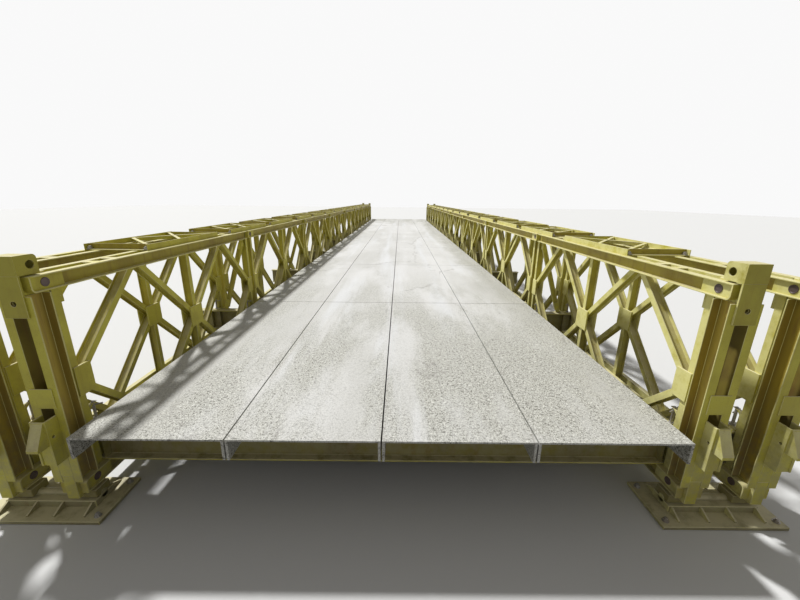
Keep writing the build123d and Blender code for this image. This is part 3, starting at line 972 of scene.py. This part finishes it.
# Bracing frames. A welded frame of small angles with three slanting ties lies across the two top
# chords of a side, twice in each bay, and is bolted down through its corners.
frame_low, frame_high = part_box("right_bracing_frames")
frame_half = (frame_high.x - frame_low.x) / 2
frame_middle = (frame_high.x + frame_low.x) / 2
frame_length = 1.2
frame_bar = 0.050
frame_web = 0.006
frame_flange = 0.007
frame_height = frame_high.z - frame_low.z + 0.004


def frame_angle(length, recess):
    """A length of the frame's angle on the origin: web towards -X, flange level and low."""
    web_at = -frame_bar / 2 + frame_web
    flange_at = frame_height / 2 - frame_flange
    bar = rolled_bar(frame_bar, frame_height, ((web_at,), (flange_at,)),
                     lambda c: c.x > web_at and c.y < flange_at, length)
    finish_in(bar, olive_paint, recess, worn_and_highlit_edge,
              choose=lambda c, n: 2 if eased(n) else n.x > 0.9 and c.x < web_at + 0.001)
    return placed(bar, turn=(-math.pi / 2, 0, 0))


rail = frame_angle(frame_length, olive_paint)
rail = placed(rail, (-(frame_half - frame_bar / 2), -frame_length / 2, frame_height / 2))
rails = [rail, copy_of(rail, scale=(-1, 1, 1))]
end_bar_half = frame_half - frame_web + weld
end_bar = frame_angle(2 * end_bar_half, recess_painted_shade)
end_bar = placed(end_bar, (0, -end_bar_half, frame_height / 2 + weld))
end_bar = placed(end_bar, (0, -frame_length / 2 + frame_bar / 2, 0), (0, 0, -math.pi / 2))
rails += [end_bar, copy_of(end_bar, scale=(1, -1, 1))]
tie_x = frame_half - 0.012
tie_width = 0.030
for (start_x, start_y), (end_x, end_y) in (((-tie_x, -0.570), (tie_x, -0.040)),
                                           ((tie_x, -0.030), (-tie_x, 0.565)),
                                           ((-tie_x, -0.110), (tie_x, 0.530))):
    tie_half = math.hypot(end_x - start_x, end_y - start_y) / 2
    tie = painted_plate(tie_width / 2, tie_half, (frame_height - 0.013, frame_height - 0.007))
    tie_rib = painted_plate((-tie_width / 2, -0.010), tie_half - 0.020, (0.012, frame_height - 0.012))
    slant = math.atan2(end_x - start_x, end_y - start_y)
    rails.append(placed(join([tie, tie_rib], "tie"),
                        ((start_x + end_x) / 2, (start_y + end_y) / 2, 0), (0, 0, -slant)))
corner_bolts = [(x * (frame_half - 0.030), y * (frame_length / 2 - 0.024), frame_flange + 0.0006)
                for x in (-1, 1) for y in (-1, 1)]
one_frame = join(rails + bolts_at(corner_bolts), "one_frame")
frame_places = [near_pin_y + number * bay + 1.550 for number in range(bays)]
frame_places += [near_pin_y + number * bay + 0.100 for number in range(1, bays)]
for side, name in ((-1, "left_bracing_frames"), (1, "right_bracing_frames")):
    frames = [copy_of(one_frame, (side * frame_middle, y, panel_high.z), scale=(side, 1, 1))
              for y in frame_places]
    piece = join(frames, f"{name}_steel")
    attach(piece, "root")
    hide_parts(name)
bpy.data.objects.remove(one_frame)
bpy.data.objects.remove(hex_bolt)

# Deck. Steel plates folded down at both edges, painted once and now white with dust. Grit lies on
# them in patches, thickest at the ends and along both sides, is swept off in long streaks, and thin
# cracks wander through the crust.
deck_steel, tree, shader, place = start_material("deck_steel")[:4]
crust = ramp(tree, noise(tree, place, 0.9, 8.0, 0.6, (1, 2.5, 1)), 0.38, 0.6)
base = blend_colour(tree, crust, (0.50, 0.495, 0.475), (0.605, 0.60, 0.59))
tracks = ramp(tree, noise(tree, place, 2.6, 4.0, 0.6, (1, 14, 1)), 0.48, 0.70)
tracked = stain(tree, tracks, 0.7, base, (0.66, 0.67, 0.69))
to_edge = combine(tree, "ABSOLUTE", axis_of(tree, place, "X"))
edge_wander = combine(tree, "MULTIPLY", noise(tree, place, 1.7, 6.0, 0.65, (1, 2, 1)), 0.9)
at_edge = ramp(tree, combine(tree, "ADD", to_edge, edge_wander), 1.75, 2.25)
edged = stain(tree, at_edge, 0.6, tracked, (0.34, 0.33, 0.29))
from_middle = combine(tree, "ABSOLUTE", axis_of(tree, place, "Y"))
end_wander = combine(tree, "MULTIPLY", noise(tree, place, 0.8, 5.0, 0.6), 3.0)
at_ends = ramp(tree, combine(tree, "ADD", from_middle, end_wander), 8.0, 12.8)
patches = ramp(tree, noise(tree, place, 1.5, 6.0, 0.62, (1, 3, 1)), 0.36, 0.56)
swept = ramp(tree, noise(tree, place, 1.9, 5.0, 0.6, (1, 9, 1)), 0.52, 0.64)
unswept = combine(tree, "MULTIPLY", patches, combine(tree, "SUBTRACT", 1.0, swept))
left_lying = combine(tree, "ADD", combine(tree, "MULTIPLY", unswept, 0.7), 0.3)
heaped = combine(tree, "MAXIMUM", at_ends, combine(tree, "MULTIPLY", at_edge, 0.8))
spread_out = combine(tree, "ADD", combine(tree, "MULTIPLY", heaped, 0.8), 0.2)
grit_cover = combine(tree, "MULTIPLY", spread_out, left_lying)
settled = stain(tree, grit_cover, 0.85, edged, (0.40, 0.395, 0.345))
coarse_grit = noise(tree, place, 50.0, 3.0, 0.75)
fine_grit = noise(tree, place, 115.0, 4.0, 0.75)
dark_grit = combine(tree, "MAXIMUM", ramp(tree, coarse_grit, 0.57, 0.61),
                    ramp(tree, fine_grit, 0.53, 0.58))
pale_grit = combine(tree, "MAXIMUM", ramp(tree, coarse_grit, 0.40, 0.34),
                    ramp(tree, fine_grit, 0.44, 0.38))
gritty = stain(tree, dark_grit, grit_cover, settled, (0.10, 0.095, 0.08))
gritty = stain(tree, pale_grit, grit_cover, gritty, (0.66, 0.66, 0.61))
long_way = add_node(tree, "ShaderNodeMapping", Scale=(1.0, 0.33, 0.0))
tree.links.new(place, long_way.inputs["Vector"])
shifted = add_node(tree, "ShaderNodeVectorMath", [("operation", "MULTIPLY_ADD")])
shifted.inputs[1].default_value = (0.45, 0.45, 0.0)
tree.links.new(noise(tree, place, 3.0, 5.0, 0.7), shifted.inputs[0])
tree.links.new(long_way.outputs["Vector"], shifted.inputs[2])
wandering = add_node(tree, "ShaderNodeTexVoronoi", [("feature", "DISTANCE_TO_EDGE")], Scale=0.75)
tree.links.new(shifted.outputs["Vector"], wandering.inputs["Vector"])
broken = ramp(tree, noise(tree, place, 1.1, 3.0), 0.46, 0.56)
crack = combine(tree, "MULTIPLY", ramp(tree, wandering.outputs["Distance"], 0.007, 0.003), broken)
cracked = stain(tree, crack, 0.5, gritty, (0.22, 0.21, 0.19))
coat(tree, shader, place, cracked, rough=(0.6, 0.9), scale=45.0, depth=0.004)
for strip in range(1, 5):
    finish_in(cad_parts[f"deck_strip_{strip}"], deck_steel)

# Studio. A plain pale floor, an even pale sky and one soft lamp high on the left beyond the far end,
# which gives the light from the same side as in the photograph.
def seen_directly(tree):
    """Whether a ray shows the background itself, straight on, in gloss or through glass."""
    rays = add_node(tree, "ShaderNodeLightPath")
    seen = combine(tree, "MAXIMUM", rays.outputs["Is Camera Ray"], rays.outputs["Is Glossy Ray"])
    return combine(tree, "MAXIMUM", seen, rays.outputs["Is Transmission Ray"])


bpy.ops.mesh.primitive_plane_add(size=120, location=(0, 20, -0.002))
floor = bpy.context.active_object
floor.name = "studio_floor"
settle(floor)
floor_material = bpy.data.materials.new("studio_floor")
floor_material.use_nodes = True
floor_tree = floor_material.node_tree
floor_shader = floor_tree.nodes["Principled BSDF"]
floor_colour = blend_colour(floor_tree, seen_directly(floor_tree),
                            (0.28, 0.28, 0.27), (0.60, 0.60, 0.59))
floor_tree.links.new(floor_colour, floor_shader.inputs["Base Color"])
floor_shader.inputs["Roughness"].default_value = 0.9
floor.data.materials.append(floor_material)

sun_data = bpy.data.lights.new("soft_key", "SUN")
sun_data.energy = 4.2
sun_data.angle = math.radians(4)
sun = bpy.data.objects.new("soft_key", sun_data)
sun.rotation_euler = Vector((0.45, -0.58, -1.0)).to_track_quat("-Z", "Y").to_euler()
bpy.context.scene.collection.objects.link(sun)

world = bpy.data.worlds.new("studio_sky")
bpy.context.scene.world = world
world.use_nodes = True
sky_tree = world.node_tree
sky_tree.nodes.clear()
fill = add_node(sky_tree, "ShaderNodeBackground", Color=(0.98, 0.96, 0.93, 1), Strength=0.31)
backdrop = add_node(sky_tree, "ShaderNodeBackground", Color=(0.95, 0.95, 0.95, 1), Strength=1.0)
either = add_node(sky_tree, "ShaderNodeMixShader")
sky_out = add_node(sky_tree, "ShaderNodeOutputWorld")
sky_tree.links.new(seen_directly(sky_tree), either.inputs[0])
sky_tree.links.new(fill.outputs[0], either.inputs[1])
sky_tree.links.new(backdrop.outputs[0], either.inputs[2])
sky_tree.links.new(either.outputs[0], sky_out.inputs["Surface"])
bpy.context.scene.view_settings.view_transform = "Standard"
